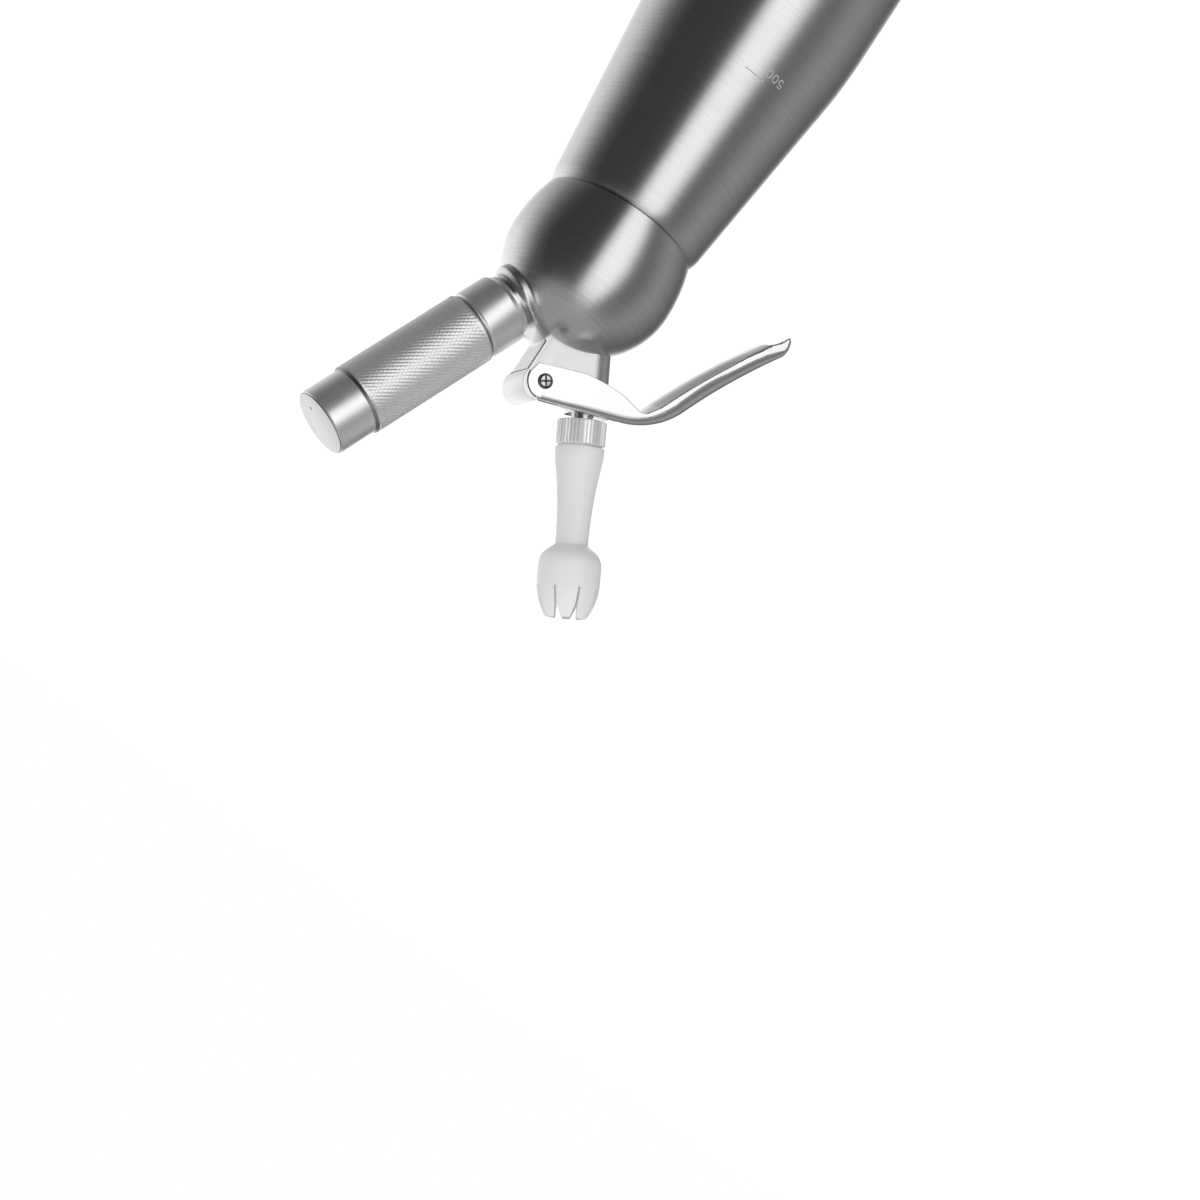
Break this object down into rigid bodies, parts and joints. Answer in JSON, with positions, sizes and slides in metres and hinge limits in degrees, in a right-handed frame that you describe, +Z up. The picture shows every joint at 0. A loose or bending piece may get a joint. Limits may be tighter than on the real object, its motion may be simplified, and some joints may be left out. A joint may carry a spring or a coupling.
{
  "type": "whipped cream dispenser",
  "caption": "Half-litre whipped cream dispenser: brushed steel bottle, domed screw-on head, squeeze lever, decorator tip and knurled holder with an 8 g charger.",
  "frame": {"origin": "centre of the bottle's flat base", "axes": "+Z up along the bottle's axis, +X towards the side the charger holder leans to, -X towards the nozzle and the lever's handle, Y square to the plane of symmetry"},
  "size_m": [0.135, 0.08, 0.2981],
  "materials": {
    "brushed_steel": "brushed",
    "collar_steel": "satin",
    "polished_casting": "polished",
    "pivot_steel": "satin",
    "valve_steel": "polished",
    "ribbed_metal": "satin",
    "plated_brass": "satin",
    "holder_aluminium": "satin",
    "charger_steel": "satin",
    "grey_rubber": "matt",
    "white_rubber": "matt",
    "clear_plastic": "translucent, semi-gloss"
  },
  "bodies": {
    "bottle_body": {"bottle": "brushed_steel"},
    "gasket_body": {"head_gasket": "grey_rubber"},
    "head_body": {"head_shell": "brushed_steel", "thread_collar": "collar_steel", "valve_body": "polished_casting", "valve_bush": "valve_steel", "bush_washer": "grey_rubber", "valve_spring": "valve_steel", "pivot_screw": "pivot_steel", "pivot_nut": "pivot_steel", "charger_spigot": "plated_brass", "piercing_pin": "valve_steel", "pin_gasket": "grey_rubber", "check_valve": "grey_rubber", "inlet_nut": "plated_brass"},
    "lever_body": {"lever": "polished_casting"},
    "spindle_body": {"spindle": "valve_steel", "spindle_seal": "grey_rubber", "spindle_o_ring": "grey_rubber", "spindle_collar": "valve_steel", "tip_adapter": "ribbed_metal"},
    "tip_washer_body": {"tip_washer": "white_rubber"},
    "tip_body": {"decorator_tip": "clear_plastic"},
    "charger_body": {"gas_charger": "charger_steel"},
    "holder_body": {"charger_holder": "holder_aluminium"}
  },
  "joints": [
    {"name": "head_lift", "type": "slide", "parent": "bottle_body", "child": "gasket_body", "axis": [0, 0, 1], "range_m": [0, 0.0105]},
    {"name": "head_turn", "type": "hinge", "parent": "gasket_body", "child": "head_body", "pos_m": [0, 0, 0.17], "axis": [0, 0, 1], "range_deg": [0, 1262]},
    {"name": "lever_hinge", "type": "hinge", "parent": "head_body", "child": "lever_body", "pos_m": [-0.00585, 0, 0.234], "axis": [0, -1, 0], "range_deg": [0, 9]},
    {"name": "spindle_slide", "type": "slide", "parent": "head_body", "child": "spindle_body", "axis": [0.486, 0, -0.8739], "range_m": [0, 0.00304], "stiffness_N_per_m": 3000, "springref_m": -0.002, "deforming": ["valve_spring"]},
    {"name": "tip_lift", "type": "slide", "parent": "spindle_body", "child": "tip_washer_body", "axis": [-0.486, 0, 0.8739], "range_m": [0, 0.0045]},
    {"name": "tip_turn", "type": "hinge", "parent": "tip_washer_body", "child": "tip_body", "pos_m": [-0.03402, 0, 0.24578], "axis": [-0.486, 0, 0.8739], "range_deg": [0, 1082]},
    {"name": "charger_slide", "type": "slide", "parent": "head_body", "child": "charger_body", "axis": [0.3898, 0, 0.9209], "range_m": [0, 0.01]},
    {"name": "holder_turn", "type": "hinge", "parent": "charger_body", "child": "holder_body", "pos_m": [0.03118, 0, 0.24887], "axis": [0.3898, 0, 0.9209], "range_deg": [0, 1802]}
  ],
  "couplings": [
    {"joint": "head_turn", "follows": "head_lift", "rad_per_m": 2094.4},
    {"joint": "lever_hinge", "follows": "spindle_slide", "rad_per_m": 51.546},
    {"joint": "tip_turn", "follows": "tip_lift", "rad_per_m": 4188.8},
    {"joint": "holder_turn", "follows": "charger_slide", "rad_per_m": 3141.6}
  ]
}
